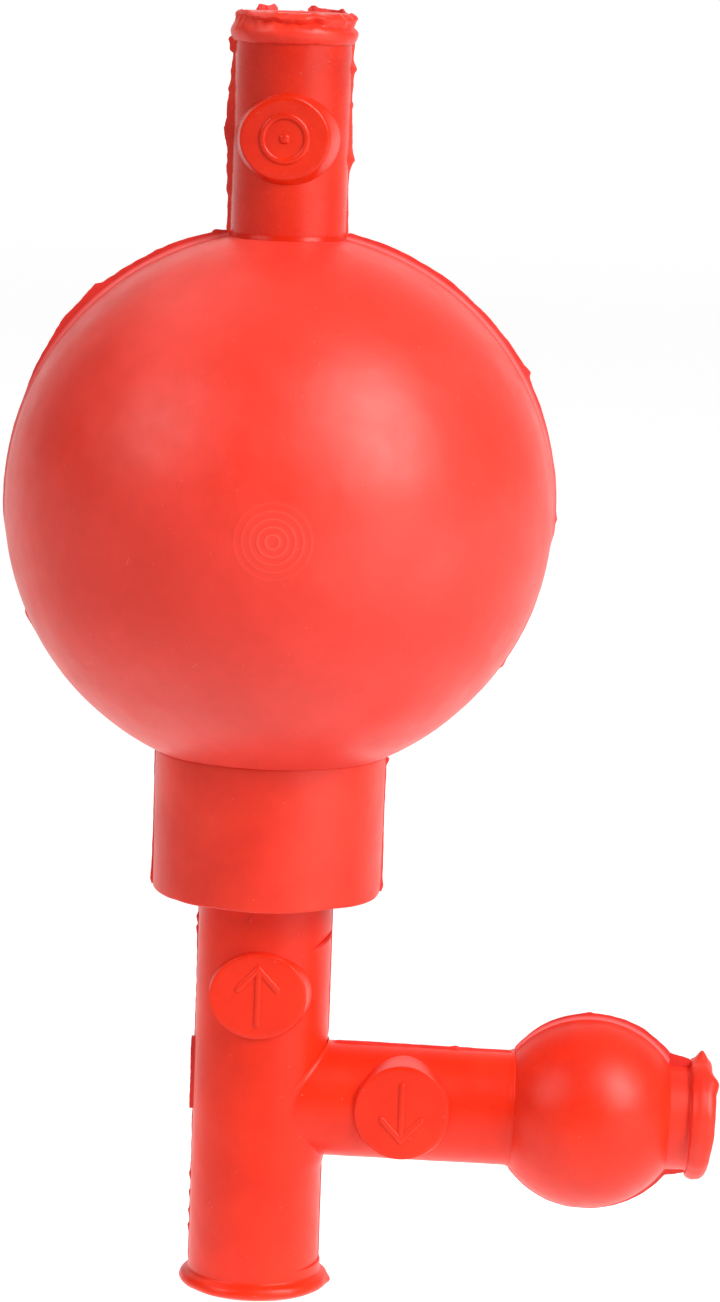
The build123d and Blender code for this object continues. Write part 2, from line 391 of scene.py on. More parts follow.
class Nodes:
    """Short way to build the nodes of a material or of a world."""

    def __init__(self, owner, shader="Principled BSDF", coordinates="Object"):
        owner.use_nodes = True
        self.owner = owner
        self.tree = owner.node_tree
        self.shader = self.tree.nodes[shader]
        self.place = self.tree.nodes.new("ShaderNodeTexCoord").outputs[coordinates]

    def put(self, socket, value):
        """Links a socket to an output, or sets its value."""
        if isinstance(value, bpy.types.NodeSocket):
            self.tree.links.new(value, socket)
        else:
            socket.default_value = value

    def node(self, kind, **inputs):
        """New node with values or links on its inputs, named with _ for spaces."""
        node = self.tree.nodes.new(f"ShaderNode{kind}")
        for key, value in inputs.items():
            self.put(node.inputs[key.replace("_", " ")], value)
        return node

    def noise(self, size, detail=3.0, roughness=0.55, stretch=(1, 1, 1)):
        """Noise of about that size, longer along an axis whose number is small."""
        vector = self.node("Mapping", Vector=self.place, Scale=stretch).outputs[0]
        found = self.node("TexNoise", Vector=vector, Scale=1 / size, Detail=detail, Roughness=roughness)
        return found.outputs[0]

    def ramp(self, factor, *stops):
        """Colour ramp through (position, colour) stops."""
        node = self.node("ValToRGB", Fac=factor)
        elements = node.color_ramp.elements
        while len(elements) < len(stops):
            elements.new(0.5)
        for element, (position, colour) in zip(elements, stops):
            element.position = position
            element.color = (*colour, 1)
        return node.outputs[0]

    def levels(self, factor, low, high, out_low, out_high, held=True, eased=False):
        """A factor moved from one range to another, and held within it or not."""
        ranges = {"From_Min": low, "From_Max": high, "To_Min": out_low, "To_Max": out_high}
        node = self.node("MapRange", Value=factor, **ranges)
        node.clamp = held
        node.interpolation_type = "SMOOTHSTEP" if eased else "LINEAR"
        return node.outputs[0]

    def eased(self, factor, *ranges):
        """The same, eased at both ends."""
        return self.levels(factor, *ranges, eased=True)

    def math(self, operation, one, other=0.0):
        """Sum, product or other function of a factor."""
        node = self.node("Math")
        node.operation = operation
        self.put(node.inputs[0], one)
        self.put(node.inputs[1], other)
        return node.outputs[0]

    def vector(self, operation, one, other=(0, 0, 0)):
        """Vector, length or dot product from a vector and a constant one."""
        node = self.node("VectorMath", Vector=one)
        node.operation = operation
        node.inputs[1].default_value = other
        return node.outputs["Value" if operation in ("LENGTH", "DOT_PRODUCT") else "Vector"]

    def mix(self, factor, one, other, blend="MIX"):
        """Mix of two colours or links."""
        node = self.node("Mix")
        node.data_type = "RGBA"
        node.blend_type = blend
        for index, value in ((0, factor), (6, one), (7, other)):
            self.put(node.inputs[index], (*value, 1) if isinstance(value, tuple) else value)
        return node.outputs[2]

    def bump(self, height, distance, under=None):
        """Bump on top of another one."""
        node = self.node("Bump", Height=height, Distance=distance)
        if under:
            self.put(node.inputs["Normal"], under)
        return node.outputs[0]

    def shade(self, **values):
        """Constant values and links on the shader's own sockets."""
        for key, value in values.items():
            self.put(self.shader.inputs[key.replace("_", " ")], value)


def paint_ring_highlights(nodes, colour):
    """Painted highlights: paler rings round the bulb's front and back poles, standing in for light on its
    raised mould rings.
    """
    first, spacing, reach = RING_HIGHLIGHT_SPAN
    flat = nodes.vector("MULTIPLY", nodes.vector("SUBTRACT", nodes.place, bulb_centre), (1, 0, 1))
    distance = nodes.vector("LENGTH", flat)
    turn = nodes.levels(distance, first, first + 10 * spacing, 0, 20 * pi, False)
    ring = nodes.levels(nodes.math("COSINE", turn), 0.55, 1, 0, 1)
    strength = nodes.levels(distance, first, reach, 0.28, 0.06)
    inside = nodes.levels(distance, reach, reach + 0.1 * MM, 1, 0)
    highlight_amount = nodes.math("MULTIPLY", inside, nodes.math("MULTIPLY", ring, strength))
    return nodes.mix(highlight_amount, colour, (0.98, 0.16, 0.12))


def paint_flash_root_sheen(centre, radius):
    """Painted sheen: paler colour at the root of the flash round a bulb, standing in for the grazing sheen
    on the bulb's rim.
    """

    def sheen_at_root(nodes, colour):
        distance = nodes.vector("LENGTH", nodes.vector("SUBTRACT", nodes.place, centre))
        strength = nodes.levels(distance, radius + 0.15 * MM, radius + 0.5 * MM, 0.9, 0)
        return nodes.mix(strength, colour, (0.95, 0.2, 0.19))

    return sheen_at_root


def rubber(name, hues, roughness, specular, sheen, marks=None):
    """Moulded rubber: uneven colour, a satin sheen, a fine grain, faint scratches and dust."""
    nodes = Nodes(bpy.data.materials.new(name))
    clouds = nodes.noise(11 * MM, detail=4)
    mottle = nodes.noise(1.8 * MM, detail=5, roughness=0.65)
    colour = nodes.ramp(clouds, *zip((0.32, 0.52, 0.72), hues))
    patches = nodes.ramp(mottle, (0.3, (0.93, 0.9, 0.9)), (0.55, (1, 1, 1)), (0.8, (1.0, 1.14, 1.16)))
    colour = nodes.mix(0.55, colour, patches, "MULTIPLY")
    specks = nodes.node("TexVoronoi", Vector=nodes.place, Scale=1 / (1.7 * MM))
    dust = nodes.levels(specks.outputs["Distance"], 0.03, 0.07, 1, 0)
    colour = nodes.mix(nodes.levels(dust, 0, 1, 0, 0.16), colour, (0.95, 0.4, 0.33))
    # marks paints highlights or sheen into the colour where it is given.
    if marks:
        colour = marks(nodes, colour)
    shine = nodes.noise(4.5 * MM, detail=5, roughness=0.6)
    shine = nodes.levels(shine, 0.25, 0.75, roughness - 0.06, roughness + 0.08)
    relief = nodes.bump(nodes.noise(6 * MM, detail=2), 0.05 * MM)
    relief = nodes.bump(nodes.noise(0.45 * MM, detail=4, roughness=0.7), 0.012 * MM, relief)
    relief = nodes.bump(nodes.noise(0.5 * MM, detail=3, stretch=(1, 1, 0.12)), 0.006 * MM, relief)
    nodes.shade(Base_Color=colour, Roughness=shine, Normal=nodes.bump(dust, 0.02 * MM, relief))
    nodes.shade(Specular_IOR_Level=specular, Sheen_Tint=(1.0, 0.72, 0.7, 1))
    nodes.shade(Sheen_Weight=sheen, Sheen_Roughness=0.4)
    return nodes.owner


def steel():
    """Polished steel with faint marks."""
    nodes = Nodes(bpy.data.materials.new("valve_steel"))
    marks = nodes.noise(0.8 * MM, detail=6)
    colour = nodes.ramp(marks, (0.3, (0.5, 0.5, 0.52)), (0.7, (0.66, 0.66, 0.68)))
    nodes.shade(Base_Color=colour, Roughness=nodes.levels(marks, 0.3, 0.7, 0.12, 0.24), Metallic=1.0)
    nodes.shade(Normal=nodes.bump(marks, 0.004 * MM))
    return nodes.owner


def floor_paper():
    """Studio paper whose emission is painted light: it glows behind the object, close to it, and in a
    painted pool of light under the key light.
    """
    nodes = Nodes(bpy.data.materials.new("studio_paper"))
    fibre = nodes.noise(5 * MM, detail=4)
    reach = nodes.vector("LENGTH", nodes.place)
    way = nodes.vector("NORMALIZE", nodes.place)
    behind = nodes.eased(nodes.vector("DOT_PRODUCT", way, BACK), 0.0, 0.8, 0.13, 0.74)
    close = nodes.eased(reach, 0.04, 0.16, 0.62, 0)
    depth = nodes.eased(nodes.vector("DOT_PRODUCT", nodes.place, BACK), -0.12, 0.01, 0.13, 0.74)
    glow = nodes.math("MINIMUM", depth, nodes.math("ADD", behind, close))
    glow = nodes.eased(reach, 0.3, 3.0, glow, 0.95)
    # Painted light: extra glow on the paper round the object's foot.
    foot = nodes.eased(reach, 0.02, 0.13, 0.34, 0)
    under_key = nodes.vector("DOT_PRODUCT", way, towards(POOL_AZIMUTH, 0))
    # Painted pool of light: the paper glows towards the key light's azimuth.
    pool = nodes.eased(reach, 0.07, 0.3, 0, POOL_BRIGHT)
    pool = nodes.math("MULTIPLY", nodes.eased(under_key, 0.8, 1.0, 0, 1), pool)
    strength = nodes.math("ADD", nodes.math("ADD", glow, foot), pool)
    nodes.shade(Base_Color=nodes.ramp(fibre, (0.3, FLOOR_DARK), (0.7, FLOOR_PALE)), Roughness=1.0)
    nodes.shade(Emission_Strength=strength, Emission_Color=(1, 1, 1, 1), Specular_IOR_Level=0.0)
    return nodes.owner


# Rings round the bulb's poles: radii of the raised ones in mm; first, spacing and last of the painted
# highlight rings, pale lines that stand in for light on the raised ones
POLE_RINGS = [0.8, 1.7, 2.5, 3.4, 4.3]
RING_HIGHLIGHT_SPAN = (0.8 * MM, 0.87 * MM, 4.6 * MM)

# Deepest, plain and brightest colour of each rubber
GLOSSY = (0.74, 0.02, 0.003), (0.83, 0.026, 0.005), (0.9, 0.033, 0.007)
# Painted shade: a darker copy of the glossy tube rubber, used on the air tube and its disc.
PAINTED_SHADE_GLOSSY = (0.58, 0.014, 0.002), (0.67, 0.019, 0.002), (0.76, 0.025, 0.003)
SATIN = (0.74, 0.024, 0.008), (0.83, 0.033, 0.012), (0.9, 0.045, 0.019)
HAZY = (0.8, 0.034, 0.017), (0.86, 0.04, 0.022), (0.92, 0.048, 0.03)
PALE = (0.9, 0.07, 0.05), (0.95, 0.1, 0.08), (1.0, 0.14, 0.11)
THIN = (0.6, 0.018, 0.011), (0.72, 0.026, 0.017), (0.84, 0.038, 0.026)
FLASH = THIN, 0.45, 0.36, 0.0

red = rubber("tube_rubber", GLOSSY, 0.34, 0.3, 0.02)
# Painted shade on the air tube and its disc: their rubber is the darker copy.
shaded_air_tube_red = rubber("air_tube_painted_shade_rubber", PAINTED_SHADE_GLOSSY, 0.27, 0.34, 0.02)
satin_red = rubber("satin_rubber", SATIN, 0.4, 0.4, 0.08)
bulb_red = rubber("bulb_rubber", HAZY, 0.41, 0.46, 0.08, paint_ring_highlights)
side_red = rubber("side_bulb_rubber", GLOSSY, 0.41, 0.38, 0.04)
# Pale marks: partly the scuffs' own paler colour, partly a painted highlight along the crease.
pale_red = rubber("scuffed_and_painted_highlight_rubber", PALE, 0.5, 0.4, 0.1)
flash_red = rubber("flash_rubber", *FLASH)
# Painted sheen: the two flash rubbers below are paler at the root of the flash.
bulb_flash_red = rubber("bulb_flash_rubber", *FLASH, paint_flash_root_sheen(bulb_centre, bulb_r))
side_flash_red = rubber("side_flash_rubber", *FLASH, paint_flash_root_sheen(side_centre, side_r))

# ---- hollow bulbs


def half_bulb(name, centre, radius, wall, facing, bores, fine):
    """Front or back half of a hollow bulb, turned about its pole."""
    pole = Vector((0, facing, 0))
    seed = 3 + facing
    cap = 5.4 * MM / radius if fine else 0.3
    polars = steps(0, cap, 0.1 * MM / radius if fine else 0.05)
    polars += steps(cap, pi / 2, 0.45 * MM / radius)[1:]
    azimuths = turns(192 if fine else 128)

    def point(polar, azimuth, distance):
        across = Vector((cos(azimuth), 0, sin(azimuth)))
        return centre + (pole * cos(polar) + across * sin(polar)) * distance

    def outer(polar, azimuth):
        spot = point(polar, azimuth, radius)
        relief = 0.04 * MM * wobble(spot, 9, seed) + 0.012 * MM * wobble(spot, 2, seed)
        relief *= smoothstep(0, 0.04, polar)
        if fine:
            from_pole = polar * radius / MM
            rings = sum(bump(from_pole, ring, 0.15) * (1 - 0.12 * ring) for ring in POLE_RINGS)
            relief += 0.055 * MM * rings - 0.04 * MM * bump(from_pole, 0, 0.4)
        relief *= smoothstep(0, 0.1, pi / 2 - polar)
        return point(polar, azimuth, radius + relief)

    rings = [[outer(polar, azimuth) for azimuth in azimuths] for polar in polars]
    for polar in reversed(steps(0, pi / 2, 0.07)):
        rings.append([point(polar, azimuth, radius - wall) for azimuth in azimuths])
    solid = joined(rings), quads(len(rings), len(azimuths), False, True)
    return bored(make_piece(name, solid, bulb_red if fine else side_red), bores)


def squeezed_bulb(prefix, centre, radius, wall, covered, bores):
    """Both halves of a hollow bulb, in place of its CAD walls."""
    for name, facing in FACINGS.items():
        moving = f"{prefix}_{name}_wall"
        piece = half_bulb(f"{prefix}_{name}_half", centre, radius, wall, facing, bores, prefix == "bulb")
        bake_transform(piece)
        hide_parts(moving, *([covered] if facing < 0 else []))


# Marks on the bulb: middle from its centre in mm, slope in degrees, length and thickness in mm
BULB_MARKS = [
    (-20.8, -15.4, -3, 7.0, 0.36), (-20.2, -16.7, -3, 5.0, 0.3), (-18.6, -14.5, -32, 3.2, 0.17),
    (-8.2, -14.4, 40, 2.6, 0.13), (-6.4, -12.6, 55, 1.5, 0.1), (9.4, -9.0, -58, 2.2, 0.12),
    (-9.8, 14.6, 22, 2.4, 0.1), (-16.0, -3.2, 74, 1.8, 0.1), (3.4, -22.5, 12, 1.7, 0.12),
]


def bulb_marks():
    """Crease and scratches on the front of the bulb."""
    marks = []
    for right, up, slope, length, thick in BULB_MARKS:
        angle = radians(slope)
        path = []
        for t in steps(-0.5, 0.5, 0.1):
            x = (right + length * t * cos(angle)) * MM
            z = (up + length * t * sin(angle) + 1.2 * length * 0.1 * (4 * t * t - 1)) * MM
            y = -sqrt((bulb_r - 0.8 * thick * MM) ** 2 - x**2 - z**2)
            path.append(bulb_centre + Vector((x, y, z)))
        marks.append(thread(path, thick * MM))
    # Their pale rubber is partly real scuffing and partly a painted highlight along the crease.
    piece = make_piece("bulb_marks", merged(marks), pale_red)
    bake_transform(piece)


def bulbs():
    """The large squeeze bulb and the small blow-out bulb."""
    up = UP * 2 * bulb_r
    bores = [(bulb_centre, bulb_centre + up, DUCT_R), (bulb_centre - up, bulb_centre, PLUG_R)]
    squeezed_bulb("bulb", bulb_centre, bulb_r, BULB_WALL, "bulb_shell", bores)
    bulb_marks()
    inner_end, outer_end = (arm.spot(side_along + way * 2 * side_r, 0, 0) for way in (-1, 1))
    bores = [(inner_end, side_centre, DUCT_R), (side_centre, outer_end, BORE_R)]
    squeezed_bulb("side_bulb", side_centre, side_r, SIDE_BULB_WALL, "side_bulb", bores)


# ---- tubes and their mouths


def tube_half(name, tube, facing, first, last, flare, material):
    """Front or back skin of a tube, thin at the parting line."""
    room = ball_r + PINCH_ROOM
    outer, inner = [], []
    for along in steps(first, last, 0.3 * MM):
        outer.append([])
        inner.append([])
        for angle in steps(0, facing * pi, pi / 56):
            spot = tube.at(along, tube.radius, angle)
            relief = 0.03 * MM * wobble(spot, 5, 7) * smoothstep(0, 0.3, abs(sin(angle)))
            relief += flare(along, angle)
            outer[-1].append(tube.at(along, tube.radius + relief, angle))
            sideways = (tube.radius - SEAM_WALL) * cos(angle)
            inner[-1].append(tube.spot(along, sideways, room * sin(angle)))
    return make_piece(name, shell(outer, inner), material)


def skins(tube, names, first, last, flare, material):
    """Four skins of a tube, in front and behind, on each side of the ball where it is pinched."""
    valve = tube.valve_along
    for side, facing in FACINGS.items():
        for name, end, way in ((names[0], first, -1), (names[1], last, 1)):
            ends = sorted((end, valve))
            piece = tube_half(f"{name}_{side}", tube, facing, *ends, flare, material)
            far = tube.spot(valve + way * (PAD_REACH + PAD_FADE), 0, 0)
            near = tube.spot(valve + way * PAD_REACH, 0, 0)
            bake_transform(piece)


def flared(height, foot, width):
    """Swelling of a tube round one place along it."""
    return lambda along, angle: height * bump(along, foot, width)


def tubes():
    """The skins of all three tubes."""
    arm_low = arm_root.z - arm.radius

    def siphon_flat(along, angle):
        """The lower end is a little flat on its right."""
        below_arm = 1 - smoothstep(arm_low - 2 * MM, arm_low, along)
        return -0.3 * MM * below_arm * smoothstep(0.5, 1, cos(angle))

    air_ends = air_foot - 0.8 * MM, air_top - 2.2 * MM
    arm_ends = arm_foot - 0.9 * MM, arm_head + 0.8 * MM
    air_flare = flared(0.22 * MM, air_foot - 0.05 * MM, 0.2 * MM)
    skins(air, ("air_tube_lower", "air_tube_upper"), *air_ends, air_flare, shaded_air_tube_red)
    skins(siphon, ("siphon_lower", "siphon_upper"), 0.8 * MM, plug_top, siphon_flat, red)
    skins(arm, ("arm_inner", "arm_outer"), *arm_ends, flared(0.2 * MM, arm_head, 0.3 * MM), red)
    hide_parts("side_arm")


def core(tube, mouth, socket):
    """Corners of the inner tube, from near the ball through its duct and its socket to a mouth."""
    valve = tube.valve_along
    way = 1 if valve > mouth else -1
    tip = valve - way * (ball_r - 0.1 * MM)
    return [
        (valve - way * (PAD_REACH + PAD_FADE), BORE_R + CORE_WALL),
        (valve - way * PAD_REACH, DUCT_R + CORE_TIP_WALL),
        (tip, DUCT_R + CORE_TIP_WALL), (tip, DUCT_R),
        (mouth + way * socket, DUCT_R), (mouth + way * socket, BORE_R), (mouth, BORE_R),
    ]


def air_mouth():
    """Lumpy double bead at the top of the air tube, with its torn rim and its socket."""
    low = air_top - AIR_BEAD_HEIGHT
    corners = [(air_top, air_bead_r - 0.7 * MM), (low + 0.6 * MM, air_bead_r - 0.35 * MM)]
    corners += [(low, air.radius + 0.1 * MM), (low, BORE_R + CORE_WALL)]

    def relief(along, radius, angle):
        """A thick roll with a lumpy thinner one on top, parted by a slanting groove."""
        if radius < air.radius - 0.4 * MM or along < low - 0.2 * MM:
            return along, radius
        place = air.at(0, 6 * MM, angle)
        wander = 0.35 * MM * wobble(place, 6, 4)
        lower = bump(along, low + 1.25 * MM + wander * 0.4, 0.95 * MM)
        upper = bump(along, low + 2.95 * MM + wander, 0.4 * MM)
        slant = low + 2.35 * MM - 0.5 * MM * cos(angle) + wander
        lumps = wobble(air.at(along, 6 * MM, angle), 1.3, 5)
        swell = 0.5 * MM * lower + 0.45 * MM * upper - 0.3 * MM * bump(along, slant, 0.25 * MM)
        high = smoothstep(low + 1.6 * MM, low + 2.4 * MM, along)
        swell += lumps * (0.04 + 0.16 * high) * MM
        return along + (0.1 * MM + 0.14 * MM * high) * wobble(place, 1.5, 6), radius + swell

    corners += core(air, air_top, AIR_SOCKET_LENGTH)
    rider("bulb", "air_mouth", turned(air, relief, corners, 0.35, 0.22, 180), satin_red, "air_tube")


# Torn flaps: first and last angle in degrees from the right, and height in mm along the way
RIM_FLAPS = [
    (110, 135, {0: 0.3, 0.15: 0.62, 0.4: 0.5, 0.62: 0.72, 0.85: 0.68, 1: 0.2}),
    (28, 78, {0: 0.1, 0.1: 0.5, 0.22: 0.25, 0.45: 0.3, 0.75: 0.42, 0.92: 0.75, 1: 0.3}),
]


def torn_rim():
    """Ragged flaps at the back of the air mouth."""
    flaps = []
    low = air_top - 0.4 * MM
    for first, last, stops in RIM_FLAPS:
        height = through(stops)
        rings = []
        for degrees in steps(first, last, 1.2):
            angle = radians(degrees)
            t = (degrees - first) / (last - first)
            place = air.at(0, 6 * MM, angle)
            top = air_top + height(t) * MM * (1 + 0.25 * wobble(place, 0.6, 71))
            radius = air_bead_r - 0.85 * MM + 0.2 * MM * wobble(place, 1.5, 72)
            side = [(low, 0.3 * MM), ((low + top) / 2, 0.25 * MM), (top, 0.12 * MM)]
            ring = side + [(up, -half) for up, half in reversed(side)]
            rings.append([air.at(up, radius + half, angle) for up, half in ring])
        flaps.append(swept(rings))
    rider("bulb", "air_rim_flaps", merged(flaps), flash_red)


def siphon_mouth():
    """Soft bead at the siphon tube's mouth, with the socket for the pipette."""
    top = SIPHON_BEAD_HEIGHT
    corners = [
        (0, SIPHON_BEAD_R - 2.2 * MM), (0.2 * MM, SIPHON_BEAD_R - 1.2 * MM),
        (0.65 * MM, SIPHON_BEAD_R - 0.25 * MM), (top * 0.5, SIPHON_BEAD_R),
        (top * 0.85, SIPHON_BEAD_R - 0.25 * MM), (top, siphon.radius + 0.2 * MM),
        (top * 1.1, siphon.radius - 0.02 * MM), (top * 1.7, siphon.radius - 0.05 * MM),
        (top * 1.7, siphon.radius - SEAM_WALL), (top * 1.7, BORE_R + CORE_WALL),
    ]

    def relief(along, radius, angle):
        """The rim isn't quite round, and its lower edge is a little ragged."""
        if radius < siphon.radius - 0.2 * MM:
            return along, radius
        place = siphon.at(along, 8 * MM, angle)
        outward = smoothstep(siphon.radius, SIPHON_BEAD_R, radius)
        low_edge = 1 - smoothstep(0, 0.8 * MM, along)
        lumps = 0.12 * MM * wobble(place, 5, 8) + 0.06 * MM * low_edge * wobble(place, 1.2, 9)
        lumps += 0.4 * MM * bump(sin(angle / 2), 0, 0.06) * bump(along, 0.7 * MM, 0.5 * MM)
        return along + 0.1 * MM * outward * wobble(place, 4, 10), radius + lumps * outward

    corners += core(siphon, 0, SIPHON_SOCKET_LENGTH)
    rider("tee", "siphon_mouth", turned(siphon, relief, corners, 0.3, 0.25, 180), red, "siphon_tube")


def collar():
    """Thick sleeve that turns on the plug, with a crease under the bulb and a wavy cut edge."""
    corners = [
        (collar_bottom, collar_r - 0.15 * MM), (collar_head - 0.1 * MM, collar_r),
        (collar_head + 0.15 * MM, collar_r - 0.15 * MM), (collar_head + 1.2 * MM, collar_r - 1.0 * MM),
        (collar_head + 1.2 * MM, PLUG_R), (collar_bottom, PLUG_R),
    ]

    def relief(along, radius, angle):
        if radius < collar_r - 1.3 * MM:
            return along, radius
        place = siphon.at(0, 10 * MM, angle)
        low_edge = 1 - smoothstep(collar_bottom, collar_bottom + 1.5 * MM, along)
        spot = siphon.at(along, collar_r, angle)
        ring = 0.05 * MM * wobble(spot, 6, 11) + 0.12 * MM * low_edge * wobble(place, 5, 12)
        return along + 0.22 * MM * low_edge * wobble(place, 7, 13), radius + ring

    rider("bulb", "bulb_collar", turned(siphon, relief, corners, 0.22, 0.35, 192), satin_red, "collar")


def nozzle():
    """Neck and uneven end flange beyond the blow-out bulb."""
    flange = outlet_along - FLANGE_LENGTH
    root = neck_foot - 0.9 * MM
    corners = [
        (root, NECK_R + 0.1 * MM), (flange + 0.1 * MM, NECK_R),
        (flange, FLANGE_R - 0.35 * MM), (flange + 0.9 * MM, FLANGE_R),
        (outlet_along - 0.7 * MM, FLANGE_R - 0.1 * MM), (outlet_along, FLANGE_R - 0.6 * MM),
        (outlet_along, BORE_R), (root, BORE_R),
    ]

    def relief(along, radius, angle):
        """The flange has a pointed lip at its top and a nib on its face."""
        if radius < BORE_R + 0.1 * MM:
            return along, radius
        place = arm.at(0, 7 * MM, angle)
        outward = smoothstep(NECK_R, FLANGE_R - 0.5 * MM, radius)
        facewards = smoothstep(flange, outlet_along, along) * smoothstep(BORE_R, NECK_R, radius)
        lip = 1.0 * MM * bump(angle, pi, 0.13) * bump(along, flange + 1.5 * MM, 0.7 * MM)
        lumps = 0.08 * MM * wobble(place, 4, 15) + 0.04 * MM * wobble(place, 1.1, 16)
        point = 0.5 * MM * bump(angle, 1.2 * pi, 0.16)
        slant = 0.5 * smoothstep(0, 1, cos(angle)) + 0.35 * smoothstep(0.7, 1, -cos(angle))
        shove = 0.12 * MM * wobble(place, 6, 17) + point - slant * MM
        return along + shove * facewards, radius + (lumps + lip) * outward

    rider("tee", "outlet_nozzle", turned(arm, relief, corners, 0.35, 0.25, 160), satin_red, "end_nozzle")


def arm_root_fillet():
    """Small fillet all round the joint of the side arm and the siphon tube."""
    reach = 0.38 * MM
    wide = arm.radius + reach
    rings = []
    for angle in turns(180):
        sideways, backwards = arm.radius * cos(angle), arm.radius * sin(angle)
        meets = sqrt(siphon.radius**2 - backwards**2)
        far_back = wide * sin(angle)
        far_meets = sqrt(siphon.radius**2 - far_back**2)
        on_tube = arm.spot(far_meets, wide * cos(angle), far_back)
        corner = arm.spot(meets, sideways, backwards)
        on_arm = arm.spot(meets + reach, sideways, backwards)
        inward = arm.spot(meets - 0.5 * MM, 0.9 * sideways, 0.9 * backwards)
        rings.append(bend(on_tube, corner, on_arm, 6) + [inward])
    rider("tee", "arm_root_fillet", swept(rings, closed=True), red, sharp=60)


# ---- pinch discs and their marks


class Disc:
    """A pinch disc, with its foot and its smaller face set to one side by so many mm."""

    def __init__(self, tube, foot_shift, face_shift, inset):
        low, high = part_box(f"{tube.valve}_back_pad")
        self.tube = tube
        self.centre = centre_of(f"{tube.valve}_ball")
        self.wide = (high.x - low.x) / 2
        self.tall = (high.z - low.z) / 2
        self.foot = [mm * MM for mm in foot_shift], (0, 0)
        self.face = [mm * MM for mm in face_shift], [mm * MM for mm in inset]
        self.level = tube.radius + PAD_PROUD

    def plain(self):
        """The smaller plain disc behind the tube."""
        smaller = copy.copy(self)
        smaller.wide, smaller.tall = 0.84 * self.wide, 0.84 * self.tall
        smaller.foot, smaller.face = ((0, 0), (0, 0)), ((0, 0), self.face[1])
        return smaller

    def edge(self, outline, fraction, angle):
        """A point of the foot's or the face's outline, or nearer its middle."""
        shift, inset = outline
        right = shift[0] + (self.wide - inset[0]) * fraction * cos(angle)
        return right, shift[1] + (self.tall - inset[1]) * fraction * sin(angle)

    def spot(self, right, up, out, facing):
        """A point from its place on the face and its distance from the parting plane."""
        return self.centre + Vector((right * -facing, 0, up)) + BACK * out * facing

    def surface(self, right, up, depth=0.0):
        """How far out the tube's surface is there, less a depth under it."""
        sideways = Vector((right, 0, up)).dot(self.tube.side)
        return sqrt(max((self.tube.radius - depth) ** 2 - sideways**2, MM**2))


def pinch_disc(disc, side, facing, material):
    """Raised disc with a flat face and a side that runs down to the round tube."""
    disc = disc if facing < 0 else disc.plain()
    angles = turns(128)

    def on_face(fraction, angle):
        right, up = disc.edge(disc.face, fraction, angle)
        sag = 0.05 * MM * wobble(disc.spot(right, up, 0, facing), 4, 21) * fraction
        drop = 0.12 * MM * smoothstep(0.9, 1.06, fraction)
        return disc.spot(right, up, disc.level - drop + sag, facing)

    def on_side(t, angle):
        face_right, face_up = disc.edge(disc.face, 1, angle)
        foot_right, foot_up = disc.edge(disc.foot, 1, angle)
        top = disc.level - 0.12 * MM
        sunk = 0.5 * MM if t > 1 else 0
        out = top + (disc.surface(foot_right, foot_up) - top) * t**1.25 - sunk
        right = face_right + (foot_right - face_right) * t
        return disc.spot(right, face_up + (foot_up - face_up) * t, out, facing)

    def inside(fraction, angle):
        right, up = disc.edge(disc.foot, fraction, angle)
        return disc.spot(right, up, disc.surface(right, up, 1.2 * MM), facing)

    places = [(on_face, t) for t in (0.0, 0.12, 0.25, 0.4, 0.55, 0.7, 0.8, 0.88, 0.93, 0.96, 0.98)]
    places += [(on_side, t) for t in (0.0, 0.08, 0.2, 0.35, 0.5, 0.65, 0.8, 0.9, 1.0, 1.04)]
    places += [(inside, t) for t in (0.85, 0.6, 0.3, 0.0)]
    rings = [[point(t, angle) for angle in angles] for point, t in places]
    solid = joined(rings), quads(len(rings), len(angles), False, True)
    pad = f"{disc.tube.valve}_{side}_pad"
    rider(pad, f"{disc.tube.valve}_{side}_disc", solid, material, pad)


MARK_SIZE = 3.3 * MM
MARK_WIDTH = 0.75 * MM
MARK_HEIGHT = 0.24 * MM
MARK_ROOT = 0.3 * MM


def stroke(disc, path, width, closed=False):
    """Raised round-topped stroke along (right, up) points on a disc's front face."""
    points = [Vector(p) for p in path]
    rings = []
    last = len(points) - 1
    for i, here in enumerate(points):
        before = points[i - 1] if closed or i > 0 else here
        after = points[(i + 1) % len(points)] if closed or i < last else here
        way = (after - before).normalized()
        across = Vector((-way.y, way.x))
        from_end = min(i, last - i) / 3
        swell = 1.0 if closed or from_end >= 1 else sqrt(1 - (1 - from_end) ** 2) * 0.95 + 0.05
        section = [(cos(a), MARK_HEIGHT * swell * sin(a)) for a in steps(0, pi, pi / 8)]
        ring = []
        for side, rise in section + [(-1, -MARK_ROOT), (1, -MARK_ROOT)]:
            flat = here + across * side * width / 2 * swell
            ring.append(disc.spot(flat.x, flat.y, disc.level + rise, -1))
        rings.append(ring)
    return swept(rings, closed)


def line(start, end, width):
    """Straight path with short steps at its ends, which round a stroke off."""
    start, end = Vector(start), Vector(end)
    way = (end - start).normalized() * width / 2
    ends = [0.0, 0.25, 0.6, 1.0]
    path = [start - way + way * t for t in ends]
    path += [start.lerp(end, t) for t in (0.25, 0.5, 0.75)]
    return path + [end + way - way * t for t in reversed(ends)]


def ring_mark(disc):
    """Ring with a dot: the valve that lets air out."""
    x, y = disc.face[0]
    radius = MARK_SIZE - MARK_WIDTH
    circle = [(x + radius * cos(a), y + radius * sin(a)) for a in turns(72)]
    dot = line((x - 0.05 * MM, y), (x + 0.05 * MM, y), 1.5 * MARK_WIDTH)
    return [stroke(disc, circle, MARK_WIDTH, True), stroke(disc, dot, 1.5 * MARK_WIDTH)]


